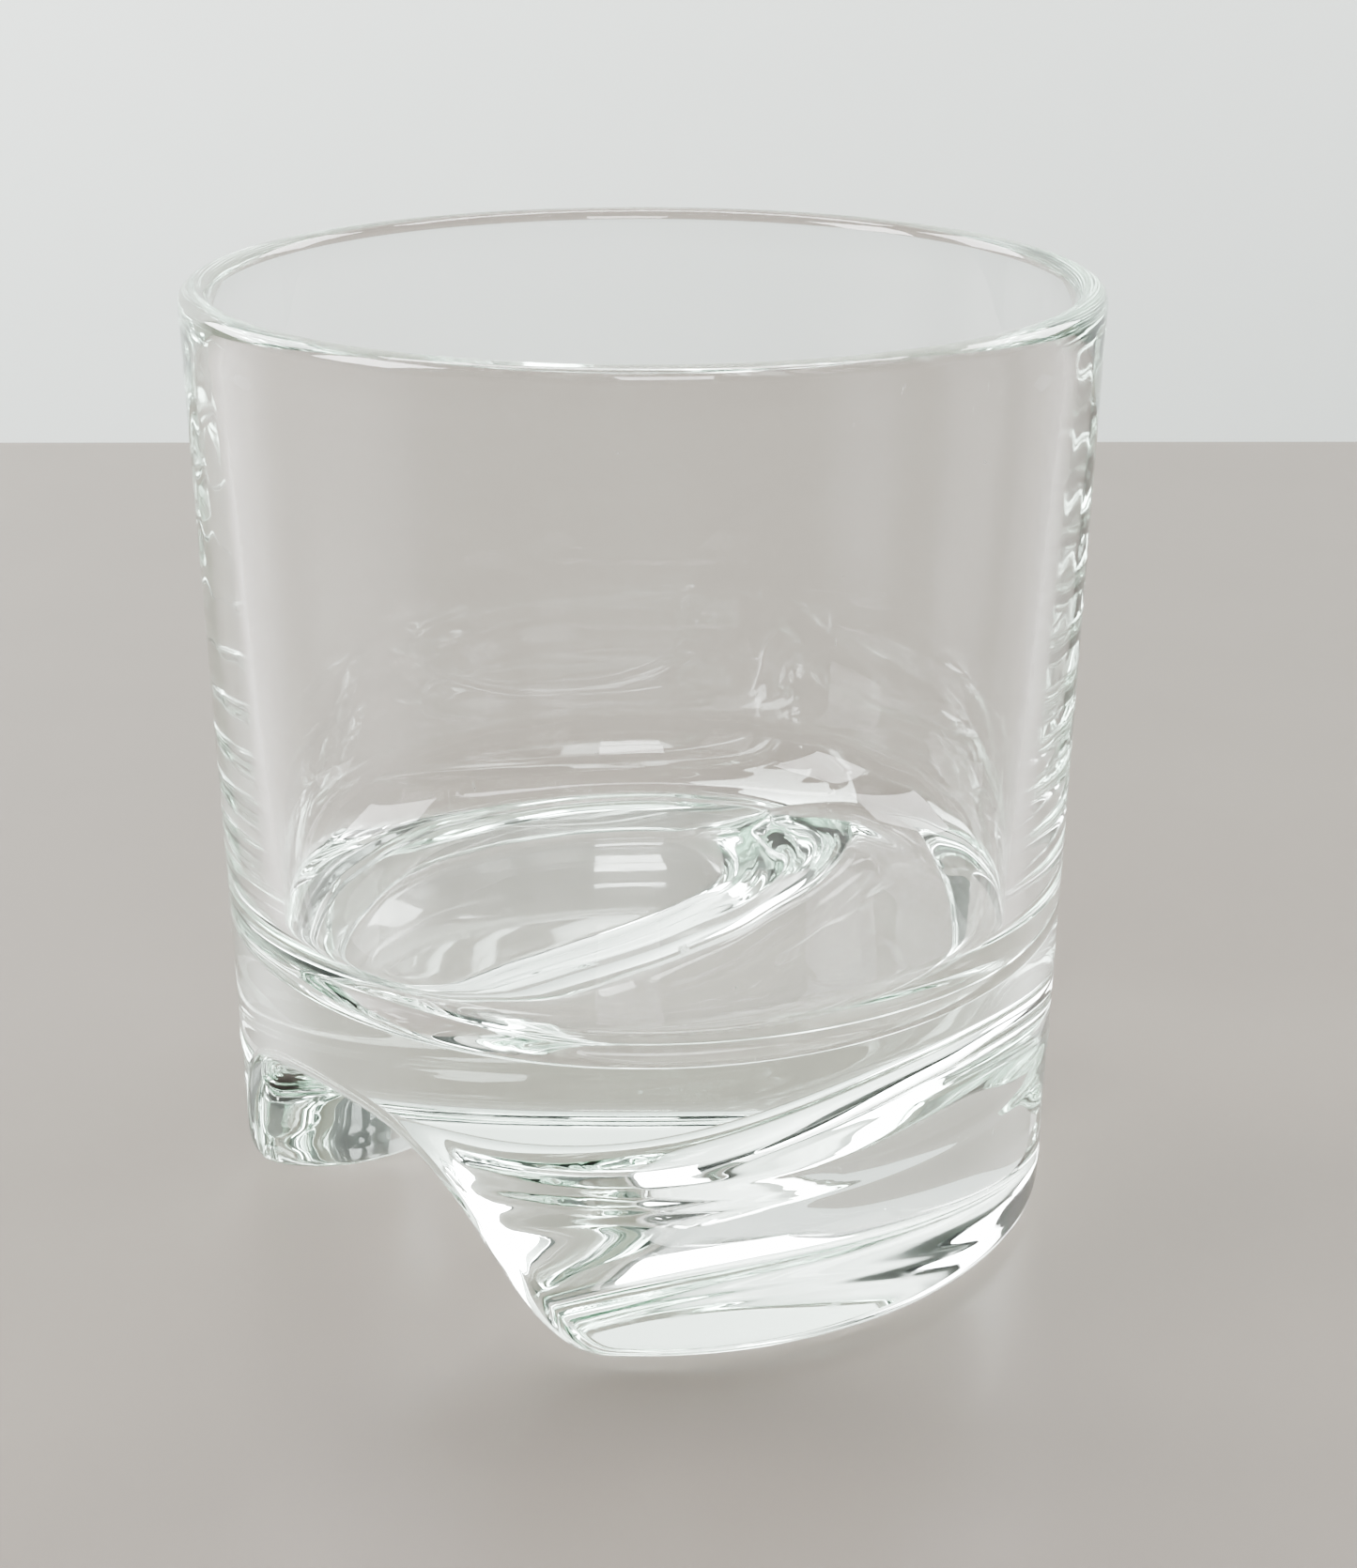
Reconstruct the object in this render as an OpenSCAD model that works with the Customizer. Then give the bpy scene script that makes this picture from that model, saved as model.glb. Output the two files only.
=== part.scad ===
// Low whiskey tumbler in pressed clear glass.
// A short bowl with a slightly flared wall stands on a deep solid base. One wide
// channel runs right across the underside in a slight S, so that the glass rests on
// two feet.
//
// The origin is the centre of the resting plane and +Z points up, out of the mouth.
// The real glass is one piece. Each module below is one zone of it, and the zones
// meet face to face at level planes, and at one upright plane along the channel.

/* [Bowl] */
// Overall height, from the resting plane to the top of the lip
height = 90; // [85:1:110]
// Diameter over the lip, the widest part of the glass
mouth_d = 84; // [82:1:92]
// Outer diameter where the wall meets the resting plane
base_d = 80; // [78:1:82]
// Thickness of the wall at the lip, which is fully rounded
lip_wall = 2.8; // [2.2:0.1:4]
// Thickness of the wall just above the cavity floor
low_wall = 4.6; // [4:0.1:6]
// Height of the lip zone
lip_h = 4; // [3:0.5:8]

/* [Base] */
// Height of the cavity floor above the resting plane
floor_z = 26; // [25:0.5:32]
// Radius where the cavity floor turns up into the wall
floor_r = 9; // [3:0.5:11]
// Height at which the two feet join the base above them
foot_top = 22; // [22:0.5:24]
// Radius of the outer bottom edge of the feet
heel_r = 2; // [0.5:0.1:3]

/* [Channel] */
// Direction of the channel, as an angle from +X
channel_angle = 43; // [0:1:90]
// Width of the channel between the flat soles of the feet
channel_w = 31.4; // [24:0.2:36]
// Length of a flat sole, measured along the channel
sole_l = 58; // [50:1:62]
// Corner radius of a flat sole, seen from below
sole_r = 9.5; // [5:0.5:12]
// Height of the channel's crown at its two mouths
crown = 21; // [14:0.5:21]
// Height of the crown halfway along, where the channel is lowest
mid_crown = 11.5; // [9:0.5:14]
// Distance from the middle over which the crown climbs to its full height
climb = 34; // [26:1:40]
// Angle by which the middle of the channel is turned against its two mouths
twist = 14; // [0:1:20]
// Distance from a sole over which most of the rise takes place
rise = 10; // [7:0.5:13]
// Sharpness of the rise: 1 starts steeply, 3 starts gently
bend = 1.9; // [1.4:0.1:3]

/* [Hidden] */
glass = [0.86, 0.91, 0.88, 0.45];
$fn = 144;
mouth_r = mouth_d / 2;
base_r = base_d / 2;
lip_z = height - lip_wall / 2;
flare = (mouth_r - base_r) / lip_z;
wall_z = height - lip_h;
bowl_z = floor_z + floor_r;
base_top = bowl_z + 2;
low_r = outer_r(bowl_z) - low_wall;
wall_slope = (mouth_r - lip_wall - low_r) / (lip_z - bowl_z);
grid = 1.8;
reach = base_r + 4;
cut_depth = 3;

// Radius of the outer wall at height z
function outer_r(z) = base_r + flare * z;

// Radius of the straight inner wall at height z, above the cavity's corner
function inner_r(z) = low_r + wall_slope * (z - bowl_z);

// Distance from the point (x, y) to the flat sole on the +Y side of the channel,
// where X runs along the channel. It is negative on the sole itself.
function sole_gap(x, y) =
    let (past_end = max(0, abs(x) - (sole_l / 2 - sole_r)))
    let (past_side = max(0, channel_w / 2 + sole_r - y))
    norm([past_end, past_side]) - sole_r;

// Share of the full rise that is reached at a distance d from a sole
function rise_share(d) = 1 - exp(-pow(max(0, d) / rise, bend));

// The point that the twist of the channel brings to (x, y)
function untwisted(x, y) =
    let (a = twist * (1 - min(1, norm([x, y]) / base_r)))
    [x * cos(a) - y * sin(a), x * sin(a) + y * cos(a)];

// Height of the crown at a distance x from the middle of the channel
function crown_at(x) =
    mid_crown + (crown - mid_crown) * (1 - cos(180 * min(1, abs(x) / climb))) / 2;

// Height of the underside at (x, y). It dips below the resting plane inside the
// soles, so that the soles themselves are cut from the flat bottom of the blank.
function underside(x, y) =
    let (p = untwisted(x, y))
    let (gaps = [sole_gap(p[0], p[1]), sole_gap(p[0], -p[1])])
    min(gaps) < 0 ? min(gaps) / 4
    : crown_at(p[0]) * rise_share(gaps[0]) * rise_share(gaps[1]);

// The outer wall between two heights, as a solid of revolution
module outer_blank(z0, z1) {
    rotate_extrude()
        polygon([[0, z0], [outer_r(z0), z0], [outer_r(z1), z1], [0, z1]]);
}

// The fully rounded lip and the few millimetres of wall below it
module lip() {
    color(glass)
        rotate_extrude() {
            translate([mouth_r - lip_wall / 2, lip_z])
                intersection() {
                    circle(r = lip_wall / 2);
                    translate([-lip_wall, 0])
                        square(2 * lip_wall);
                }
            polygon([
                [inner_r(wall_z), wall_z],
                [outer_r(wall_z), wall_z],
                [mouth_r, lip_z],
                [mouth_r - lip_wall, lip_z]
            ]);
        }
}

// The straight wall of the bowl, thicker towards the base
module bowl_wall() {
    color(glass)
        rotate_extrude()
            polygon([
                [inner_r(base_top), base_top],
                [outer_r(base_top), base_top],
                [outer_r(wall_z), wall_z],
                [inner_r(wall_z), wall_z]
            ]);
}

// The solid base with the floor of the cavity and its rounded corner
module base() {
    color(glass)
        difference() {
            outer_blank(foot_top, base_top);
            rotate_extrude() {
                translate([low_r - floor_r, bowl_z])
                    intersection() {
                        circle(r = floor_r);
                        translate([0, -floor_r])
                            square(floor_r);
                    }
                square_between(0, low_r - floor_r, floor_z, bowl_z);
                polygon([
                    [0, bowl_z],
                    [low_r, bowl_z],
                    [inner_r(base_top + 1), base_top + 1],
                    [0, base_top + 1]
                ]);
            }
        }
}

// A rectangle given by its edges
module square_between(x0, x1, y0, y1) {
    translate([x0, y0])
        square([x1 - x0, y1 - y0]);
}

// The empty space of the channel for one foot: its top is the underside surface
module channel_space() {
    cols = ceil(2 * reach / grid);
    rows = ceil((reach + grid) / grid);
    top = [
        for (j = [0:rows])
            for (i = [0:cols])
                let (x = -reach + 2 * reach * i / cols)
                let (y = -grid + (reach + grid) * j / rows)
                [x, y, underside(x, y)]
    ];
    corner = [0, cols, rows * (cols + 1) + cols, rows * (cols + 1)];
    bottom = [for (k = corner) [top[k][0], top[k][1], -cut_depth]];
    first = len(top);
    front = [for (i = [0:cols]) i];
    right = [for (j = [0:rows]) j * (cols + 1) + cols];
    back = [for (i = [0:cols]) rows * (cols + 1) + cols - i];
    left = [for (j = [0:rows]) (rows - j) * (cols + 1)];
    polyhedron(
        points = concat(top, bottom),
        faces = concat(
            [for (j = [0:rows - 1]) for (i = [0:cols - 1])
                let (a = j * (cols + 1) + i) [a, a + cols + 1, a + cols + 2]],
            [for (j = [0:rows - 1]) for (i = [0:cols - 1])
                let (a = j * (cols + 1) + i) [a, a + cols + 2, a + 1]],
            [concat([first], front, [first + 1])],
            [concat([first + 1], right, [first + 2])],
            [concat([first + 2], back, [first + 3])],
            [concat([first + 3], left, [first])],
            [[first, first + 1, first + 2, first + 3]]
        ),
        convexity = 6
    );
}

// One foot: half of the lower blank, on the +Y side of the channel
module foot() {
    difference() {
        rotate_extrude()
            polygon(concat(
                [[0, 0]],
                [for (a = [-90:15:0])
                    [base_r - heel_r + heel_r * cos(a), heel_r + heel_r * sin(a)]],
                [[outer_r(foot_top), foot_top], [0, foot_top]]
            ));
        translate([-reach, -2 * reach, -1])
            cube([2 * reach, 2 * reach, foot_top + 2]);
        channel_space();
    }
}

// The foot on the left and at the back
module rear_foot() {
    color(glass)
        rotate([0, 0, channel_angle])
            foot();
}

// The foot at the front and on the right
module front_foot() {
    color(glass)
        rotate([0, 0, channel_angle + 180])
            foot();
}

lip();
bowl_wall();
base();
front_foot();
rear_foot();
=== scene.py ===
"""Low whiskey tumbler in clear pressed glass, on a pale floor.

The real glass is one piece, so one seamless mesh stands for the five zones of the CAD
model. It adds what the CAD leaves out: rounded edges at the mouths of the channel, the
mould line, the wrinkles and streaks that pressing leaves, and the glass itself.
All lengths are in metres.
"""
import math

import bpy
import numpy as np
from mathutils import Matrix, Vector


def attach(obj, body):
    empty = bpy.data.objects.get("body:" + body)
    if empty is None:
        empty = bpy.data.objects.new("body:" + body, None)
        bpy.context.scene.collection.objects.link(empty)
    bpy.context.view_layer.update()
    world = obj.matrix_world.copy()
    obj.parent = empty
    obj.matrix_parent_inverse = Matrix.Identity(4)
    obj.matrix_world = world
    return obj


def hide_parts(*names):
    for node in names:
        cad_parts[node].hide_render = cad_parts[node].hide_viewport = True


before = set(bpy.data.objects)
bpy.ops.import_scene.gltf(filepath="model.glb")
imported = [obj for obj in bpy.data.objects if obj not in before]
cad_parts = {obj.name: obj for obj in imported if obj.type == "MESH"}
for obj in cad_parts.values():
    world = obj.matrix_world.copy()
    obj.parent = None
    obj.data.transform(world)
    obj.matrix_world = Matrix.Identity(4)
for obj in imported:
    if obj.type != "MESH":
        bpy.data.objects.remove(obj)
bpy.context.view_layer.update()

# The shape, with the values of the CAD model
HEIGHT = 0.090
MOUTH_R = 0.042
BASE_R = 0.040
LIP_WALL = 0.0028
LOW_WALL = 0.0046
FLOOR_Z = 0.026
FLOOR_R = 0.009
CHANNEL_ANGLE = math.radians(43)
CHANNEL_W = 0.0314
SOLE_L = 0.058
SOLE_R = 0.0095
CROWN = 0.021
MID_CROWN = 0.0115
CLIMB = 0.034
TWIST = math.radians(14)
RISE = 0.010
BEND = 1.9
HEEL_R = 0.002

LIP_Z = HEIGHT - LIP_WALL / 2
BOWL_Z = FLOOR_Z + FLOOR_R

# Detail that only the visual mesh has
MOUTH_EDGE_R = 0.0025      # rounding of the edge where the channel leaves the wall
MOUTH_EDGE_FULL = 0.015    # height of that edge at which it reaches that rounding
MOULD_LINE_Z = 0.017       # where the two halves of the mould met
MOULD_LINE_H = 0.00012
MOULD_LINE_W = 0.0007
RIPPLE_H = 0.00004         # height of the wrinkles in the channel
RIPPLE_WAVES = 5
RIPPLE_LINES = (3.0, 8.0)  # wrinkles from a sole up to the crown
RIPPLE_DRIFT = 4.0         # how fast they slant against the sides, in turns per metre
RIPPLE_SIDE = 0.004        # half width of the crown, over which the two sides blend
RIPPLE_SEED = 3
STREAK_H = 0.00002         # height of the upright streaks inside the bowl
STREAK_WAVES = 9
STREAK_LOBES = (9, 44)     # streaks round the bowl
STREAK_SEED = 11
EDGE_BAND = 0.004          # width of the ring of the underside beside the rounded edge
WALL_START = 0.0245        # above this height the mesh is in level rings

# Number of mesh steps round the glass, and along its profile
AROUND = 384
STEPS_UNDER = 100
STEPS_BAND = 3
STEPS_EDGE = 10
STEPS_LOW_WALL = 34
STEPS_WALL = 22
STEPS_LIP = 16
STEPS_CORNER = 24
STEPS_FLOOR = 14


# ---------------------------------------------------------------- shape

def outer_r(z):
    """Radius of the outer wall."""
    return BASE_R + (MOUTH_R - BASE_R) * z / LIP_Z


LOW_R = outer_r(BOWL_Z) - LOW_WALL


def sole_gap(u, v):
    """Distance from a point to the flat sole on the +v side, negative on the sole."""
    past_end = np.maximum(0, np.abs(u) - (SOLE_L / 2 - SOLE_R))
    past_side = np.maximum(0, CHANNEL_W / 2 + SOLE_R - v)
    return np.hypot(past_end, past_side) - SOLE_R


def rise_share(d):
    """Share of the full rise at a distance from a sole."""
    return 1 - np.exp(-(np.maximum(d, 0) / RISE) ** BEND)


def along_channel(x, y):
    """The same point, measured along (u) and across (v) the channel, whose middle is
    turned by TWIST against its mouths."""
    turn = TWIST * (1 - np.clip(np.hypot(x, y) / BASE_R, 0, 1)) - CHANNEL_ANGLE
    c, s = np.cos(turn), np.sin(turn)
    return x * c - y * s, x * s + y * c


def underside(x, y):
    """Height of the channel and the soles."""
    u, v = along_channel(x, y)
    climb = (1 - np.cos(math.pi * np.clip(np.abs(u) / CLIMB, 0, 1))) / 2
    crown = MID_CROWN + (CROWN - MID_CROWN) * climb
    shares = rise_share(sole_gap(u, v)) * rise_share(sole_gap(u, -v))
    return crown * shares + channel_ripple(u, v, shares)


def channel_ripple(u, v, share):
    """Long low wrinkles that follow the channel's sides from mouth to mouth, where the
    plunger chilled the glass. share is how far up its side a point lies, from 0 to 1."""
    rng = np.random.default_rng(RIPPLE_SEED)
    total = 0
    for _ in range(RIPPLE_WAVES):
        lines = rng.uniform(*RIPPLE_LINES)
        drift = rng.uniform(-RIPPLE_DRIFT, RIPPLE_DRIFT)
        side = rng.uniform(-1, 1) * np.tanh(v / RIPPLE_SIDE)
        total = total + np.sin(2 * math.pi * (lines * share + drift * u + side
                                              + rng.uniform(0, 1)))
    fade = np.minimum(1, 8 * share * (1 - share) + 0.25 * share)
    return RIPPLE_H * total / math.sqrt(RIPPLE_WAVES) * fade


def wall_ripple(angle):
    """Upright streaks, a few hundredths of a millimetre deep."""
    rng = np.random.default_rng(STREAK_SEED)
    total = 0
    for _ in range(STREAK_WAVES):
        lobes = rng.integers(*STREAK_LOBES)
        total = total + np.sin(lobes * angle + rng.uniform(0, 2 * math.pi)) / math.sqrt(lobes)
    return STREAK_H * total


def ring(r, z, angle):
    """One ring of points; r and z are numbers or one value for each angle."""
    r = np.broadcast_to(r, angle.shape)
    z = np.broadcast_to(z, angle.shape)
    return np.stack([r * np.cos(angle), r * np.sin(angle), z], 1)


def under_ring(r, lift, angle):
    """A ring that follows the underside at radius r, raised by lift."""
    height = underside(r * np.cos(angle), r * np.sin(angle))
    return ring(r, height + lift, angle)


def underside_rings(angle):
    """The underside from its middle to the rounded outer edge, then that edge."""
    inner = BASE_R - EDGE_BAND
    rings = [under_ring(inner * k / STEPS_UNDER, 0, angle)
             for k in range(1, STEPS_UNDER + 1)]
    rim = underside(BASE_R * np.cos(angle), BASE_R * np.sin(angle))
    round_r = HEEL_R + (MOUTH_EDGE_R - HEEL_R) * np.clip(rim / MOUTH_EDGE_FULL, 0, 1)
    edge = outer_r(rim + round_r)
    for k in range(1, STEPS_BAND + 1):
        rings.append(under_ring(inner + (edge - round_r - inner) * k / STEPS_BAND, 0, angle))
    for k in range(1, STEPS_EDGE + 1):
        a = math.pi / 2 * k / STEPS_EDGE
        rings.append(under_ring(edge - round_r + round_r * math.sin(a),
                                round_r * (1 - math.cos(a)), angle))
    return rings


def low_wall_rings(start, angle):
    """The outer wall from the uneven edge below it up to the first level ring."""
    rings = []
    for k in range(1, STEPS_LOW_WALL):
        z = start + (WALL_START - start) * k / STEPS_LOW_WALL
        line = MOULD_LINE_H * np.exp(-((z - MOULD_LINE_Z) / MOULD_LINE_W) ** 2)
        rings.append(ring(outer_r(z) + line, z, angle))
    return rings


def bowl_rings(angle):
    """Level rings: up the outer wall, over the lip, and down to the bowl's floor."""
    rings = []
    for z in np.linspace(WALL_START, LIP_Z, STEPS_WALL):
        rings.append(ring(outer_r(z), z, angle))
    half = LIP_WALL / 2
    for a in np.linspace(0, math.pi, STEPS_LIP)[1:-1]:
        rings.append(ring(MOUTH_R - half + half * math.cos(a), LIP_Z + half * math.sin(a), angle))
    for z in np.linspace(LIP_Z, BOWL_Z, STEPS_WALL):
        share = (z - BOWL_Z) / (LIP_Z - BOWL_Z)
        r = LOW_R + (MOUTH_R - LIP_WALL - LOW_R) * share
        soft = math.sqrt(math.sin(math.pi * min(1, max(0, share))))
        rings.append(ring(r + soft * wall_ripple(angle), z, angle))
    for a in np.linspace(0, math.pi / 2, STEPS_CORNER)[1:]:
        rings.append(ring(LOW_R - FLOOR_R + FLOOR_R * math.cos(a),
                          BOWL_Z - FLOOR_R * math.sin(a), angle))
    for r in np.linspace(LOW_R - FLOOR_R, 0, STEPS_FLOOR + 1)[1:-1]:
        rings.append(ring(r, FLOOR_Z, angle))
    return rings


def glass_mesh():
    """The whole tumbler as one closed mesh."""
    angle = np.linspace(0, 2 * math.pi, AROUND, endpoint=False)
    rings = underside_rings(angle)
    rings += low_wall_rings(rings[-1][:, 2], angle)
    rings += bowl_rings(angle)
    bottom = [[0, 0, float(underside(0.0, 0.0))]]
    points = np.concatenate([bottom, *rings, [[0, 0, FLOOR_Z]]])
    i = np.arange(AROUND)
    j = (i + 1) % AROUND
    faces = [[0, b, a] for a, b in zip(1 + i, 1 + j)]
    for k in range(len(rings) - 1):
        a = 1 + k * AROUND
        b = a + AROUND
        faces += np.stack([a + i, a + j, b + j, b + i], 1).tolist()
    last = len(points) - 1
    a = last - AROUND
    faces += [[last, p, q] for p, q in zip(a + i, a + j)]
    mesh = bpy.data.meshes.new("tumbler")
    mesh.from_pydata(points.tolist(), [], faces)
    mesh.polygons.foreach_set("use_smooth", [True] * len(mesh.polygons))
    mesh.update()
    return mesh


def make_tumbler():
    tumbler = bpy.data.objects.new("tumbler", glass_mesh())
    bpy.context.collection.objects.link(tumbler)
    tumbler.data.materials.append(glass_material())
    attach(tumbler, "root")
    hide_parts("lip", "bowl_wall", "base", "front_foot", "rear_foot")
    return tumbler


# ---------------------------------------------------------------- materials

IOR = 1.52
DEPTH_COLOUR = (0.84, 0.95, 0.89, 1.0)
DEPTH_DENSITY = 9.0                        # for each metre of glass
SCRATCHES = ((0.5, 60.0), (-0.9, 47.0))    # direction, and scale of the noise
SCRATCH_STRETCH = 9.0
MARK_ROUGHNESS = 0.35
SOLE_ROUGHNESS = 0.12
FILM_ROUGHNESS = 0.02
LAMP_PASSES = (0.88, 0.3)                  # share of lamp light let through, facing and edge-on
FLOOR_COLOUR = (0.125, 0.110, 0.096)
BACKDROP_COLOUR = (0.80, 0.84, 0.81)
WALL_COLOUR = (0.60, 0.63, 0.62)


class Nodes:
    """Short calls for building one material's node tree."""

    def __init__(self, name):
        self.material = bpy.data.materials.new(name)
        self.material.use_nodes = True
        self.tree = self.material.node_tree
        self.tree.nodes.clear()

    def add(self, kind, inputs=(), **settings):
        """A node with settings; inputs pairs a socket with a value or another socket."""
        node = self.tree.nodes.new("ShaderNode" + kind)
        for key, value in settings.items():
            setattr(node, key, value)
        for socket, value in dict(inputs).items():
            if isinstance(value, bpy.types.NodeSocket):
                self.tree.links.new(value, node.inputs[socket])
            else:
                node.inputs[socket].default_value = value
        return node

    def math(self, operation, a, b=0.0, clamp=False):
        return self.add("Math", {0: a, 1: b}, operation=operation, use_clamp=clamp).outputs[0]

    def span(self, value, low, high, out_low=0.0, out_high=1.0):
        """Maps value from low..high to out_low..out_high, clamped."""
        return self.add("MapRange", {"Value": value, "From Min": low, "From Max": high,
                                     "To Min": out_low, "To Max": out_high}).outputs[0]

    def noise(self, vector, scale, detail=2.0):
        return self.add("TexNoise", {"Vector": vector, "Scale": scale,
                                     "Detail": detail}).outputs["Fac"]

    def stretched(self, vector, scale, turn=0.0):
        return self.add("Mapping", {"Vector": vector, "Scale": scale,
                                    "Rotation": (0, 0, turn)}).outputs[0]


def glass_material():
    """Clear glass with faint green depth, fine scratches, specks and worn soles."""
    n = Nodes("clear_pressed_glass")
    place = n.add("TexCoord").outputs["Object"]
    split = n.add("SeparateXYZ", {0: place})
    height = split.outputs["Z"]

    # worn soles: the lowest half millimetre is scuffed
    sole = n.span(height, 0.00005, 0.0004, 1.0, 0.0)
    scuffs = n.span(n.noise(place, 300.0, 5.0), 0.5, 0.75)
    sole_wear = n.math("MULTIPLY", sole, scuffs)

    # hairline scratches in two directions, only where a slow noise lets them show
    lines = None
    for turn, size in SCRATCHES:
        along = n.stretched(place, (size, SCRATCH_STRETCH * size, size), turn)
        line = n.span(n.noise(along, 6.0, 3.0), 0.735, 0.77)
        lines = line if lines is None else n.math("MAXIMUM", lines, line)
    patches = n.span(n.noise(place, 38.0), 0.55, 0.7)
    scratches = n.math("MULTIPLY", lines, patches)

    # specks of dust and lime
    cells = n.add("TexVoronoi", {"Vector": place, "Scale": 420.0})
    specks = n.math("MULTIPLY", n.span(cells.outputs["Distance"], 0.03, 0.06, 1.0, 0.0),
                    n.span(n.noise(place, 90.0), 0.62, 0.66))

    # a thin film of handling, almost clear
    film = n.span(n.noise(n.stretched(place, (1.0, 1.0, 0.2)), 55.0, 3.0), 0.4, 0.75, 0.0,
                  FILM_ROUGHNESS)

    marks = n.math("MAXIMUM", scratches, specks)
    rough = n.math("ADD", film, n.math("MULTIPLY", marks, MARK_ROUGHNESS))
    rough = n.math("ADD", rough, n.math("MULTIPLY", sole_wear, SOLE_ROUGHNESS),
                   clamp=True)

    ripple = n.noise(n.stretched(place, (1.0, 1.0, 0.08)), 90.0, 1.0)
    relief = n.math("ADD", n.math("MULTIPLY", ripple, 0.5), n.math("MULTIPLY", marks, -0.3))
    bump = n.add("Bump", {"Height": relief, "Strength": 0.1, "Distance": 0.00006})

    tint = n.add("Mix", {"Factor": marks, 6: (1.0, 1.0, 1.0, 1.0), 7: (0.86, 0.88, 0.88, 1.0)},
                 data_type="RGBA")
    shader = n.add("BsdfPrincipled", {
        "Base Color": tint.outputs[2], "Roughness": rough, "IOR": IOR,
        "Transmission Weight": 1.0, "Normal": bump.outputs[0]})
    # light from the lamps passes, less of it where it meets the glass at a slant
    slant = n.add("LayerWeight", {"Blend": 0.5}).outputs["Facing"]
    passed = n.add("BsdfTransparent", {"Color": n.span(slant, 0.2, 1.0, *LAMP_PASSES)})
    is_lamp = n.add("LightPath").outputs["Is Shadow Ray"]
    surface = n.add("MixShader", {0: is_lamp, 1: shader.outputs[0], 2: passed.outputs[0]})
    depth = n.add("VolumeAbsorption", {"Color": DEPTH_COLOUR, "Density": DEPTH_DENSITY})
    n.add("OutputMaterial", {"Surface": surface.outputs[0], "Volume": depth.outputs[0]})
    return n.material


def plain_material(name, colour, roughness, speckle):
    """A matt stage surface with a faint unevenness."""
    n = Nodes(name)
    place = n.add("TexCoord").outputs["Object"]
    grain = n.noise(place, 40.0, 4.0)
    dark = tuple(c * (1 - speckle) for c in colour)
    mix = n.add("Mix", {"Factor": grain, 6: (*dark, 1.0), 7: (*colour, 1.0)}, data_type="RGBA")
    shader = n.add("BsdfPrincipled", {"Base Color": mix.outputs[2], "Roughness": roughness})
    n.add("OutputMaterial", {"Surface": shader.outputs[0]})
    return n.material


# ---------------------------------------------------------------- stage

FLOOR_DROP = 0.0003        # the floor lies this far under the soles, so that they mirror
FLOOR_END = 0.315          # how far behind the glass the floor ends
FLOOR_SIDE = 2.3
BACKDROP_Y = 0.9
BACKDROP_SIDE = 1.3
ROOM_R = 3.3
ROOM_SIDES = 48
ROOM_LOW, ROOM_HIGH = -1.5, 2.5


def stage_mesh(name, points, faces, material):
    mesh = bpy.data.meshes.new(name)
    mesh.from_pydata(points, [], faces)
    mesh.materials.append(material)
    piece = bpy.data.objects.new(name, mesh)
    bpy.context.collection.objects.link(piece)


def make_stage():
    """A pale floor, a lighter plain backdrop beyond its far edge, and a plain wall round
    the whole room for the views from the other sides."""
    side, z = FLOOR_SIDE, -FLOOR_DROP
    stage_mesh("floor", [(-side, -side, z), (side, -side, z),
                         (side, FLOOR_END, z), (-side, FLOOR_END, z)], [(0, 1, 2, 3)],
               plain_material("pale_floor", FLOOR_COLOUR, 0.45, 0.08))
    side, y = BACKDROP_SIDE, BACKDROP_Y
    stage_mesh("backdrop", [(-side, y, ROOM_LOW), (side, y, ROOM_LOW),
                            (side, y, ROOM_HIGH), (-side, y, ROOM_HIGH)], [(0, 1, 2, 3)],
               plain_material("pale_backdrop", BACKDROP_COLOUR, 0.9, 0.02))
    turns = [2 * math.pi * k / ROOM_SIDES for k in range(ROOM_SIDES)]
    points = [(ROOM_R * math.cos(t), ROOM_R * math.sin(t), z)
              for z in (ROOM_LOW, ROOM_HIGH) for t in turns]
    faces = [(k, (k + 1) % ROOM_SIDES, ROOM_SIDES + (k + 1) % ROOM_SIDES, ROOM_SIDES + k)
             for k in range(ROOM_SIDES)]
    stage_mesh("room_wall", points, faces,
               plain_material("pale_wall", WALL_COLOUR, 0.9, 0.02))


GLASS_MIDDLE = (0.0, 0.0, 0.04)


def softbox(name, place, target, size, watts):
    light = bpy.data.lights.new(name, "AREA")
    light.shape = "RECTANGLE"
    light.size, light.size_y = size
    light.energy = watts
    box = bpy.data.objects.new(name, light)
    bpy.context.collection.objects.link(box)
    box.location = place
    aim = Vector(target) - Vector(place)
    box.rotation_euler = aim.to_track_quat("-Z", "Y").to_euler()


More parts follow.
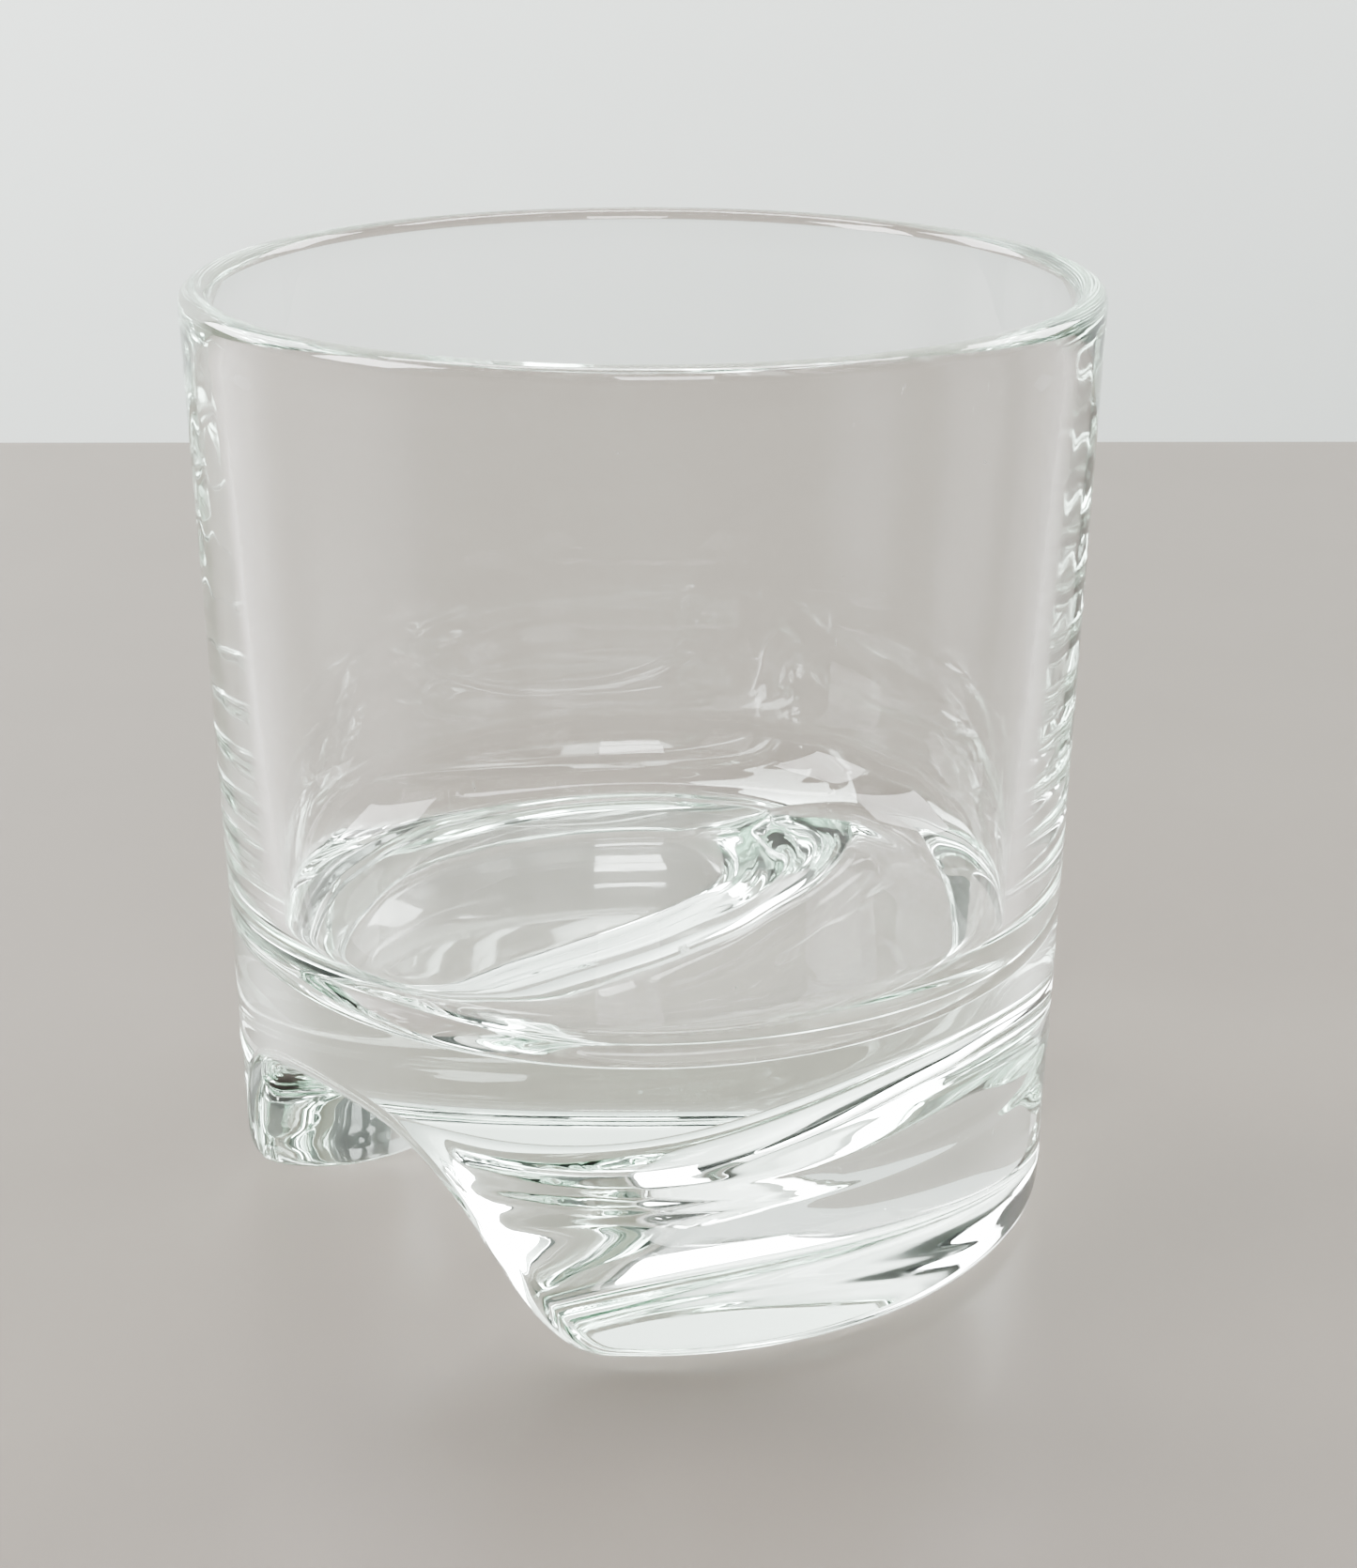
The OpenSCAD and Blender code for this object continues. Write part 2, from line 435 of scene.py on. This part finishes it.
def make_lights():
    softbox("window_left", (-1.0, 0.55, 0.65), GLASS_MIDDLE, (0.6, 0.8), 20)
    softbox("window_left_front", (-1.0, -0.3, 0.7), GLASS_MIDDLE, (0.5, 0.7), 20)
    softbox("window_right", (0.9, 0.6, 0.7), GLASS_MIDDLE, (0.5, 0.7), 13)
    softbox("front_fill", (0.1, -1.0, 0.9), GLASS_MIDDLE, (0.45, 0.45), 7)
    softbox("backdrop_wash", (0.0, 0.35, 1.6), (0, 0.9, 0.3), (2.0, 0.4), 34)
    world = bpy.data.worlds.new("studio")
    bpy.context.scene.world = world
    world.use_nodes = True
    background = world.node_tree.nodes["Background"]
    background.inputs["Color"].default_value = (0.72, 0.78, 0.80, 1.0)
    background.inputs["Strength"].default_value = 0.09
    bpy.context.scene.view_settings.look = "AgX - High Contrast"


# ---------------------------------------------------------------- camera

CAMERA_PLACE = Vector((0.0, -0.243125, 0.131909))
CAMERA_TURN = math.radians(0.774)      # to the right of +Y
CAMERA_DROP = math.radians(20.66)      # below the horizon
CAMERA_ROLL = math.radians(0.14)
CAMERA_LENS = 60.96                    # for 36 mm along the picture's longer side


def make_camera():
    """The photograph's viewpoint, from a camera fitted to the glass's outlines."""
    flat = math.cos(CAMERA_DROP)
    ahead = Vector((flat * math.sin(CAMERA_TURN), flat * math.cos(CAMERA_TURN),
                    -math.sin(CAMERA_DROP)))
    right = Vector((math.cos(CAMERA_TURN), -math.sin(CAMERA_TURN), 0.0))
    up = right.cross(ahead)
    c, s = math.cos(CAMERA_ROLL), math.sin(CAMERA_ROLL)
    axes = Matrix((c * right + s * up, c * up - s * right, -ahead)).transposed()
    data = bpy.data.cameras.new("camera")
    data.sensor_width = 36.0
    data.lens = CAMERA_LENS
    data.clip_start = 0.01
    camera = bpy.data.objects.new("camera", data)
    bpy.context.collection.objects.link(camera)
    camera.matrix_world = Matrix.Translation(CAMERA_PLACE) @ axes.to_4x4()
    bpy.context.scene.camera = camera


def set_light_paths():
    """Enough bounces for light that mirrors several times inside the glass."""
    cycles = bpy.context.scene.cycles
    cycles.max_bounces = 32
    cycles.transmission_bounces = 32
    cycles.glossy_bounces = 32
    cycles.transparent_max_bounces = 16


make_camera()
make_stage()
make_lights()
make_tumbler()
set_light_paths()
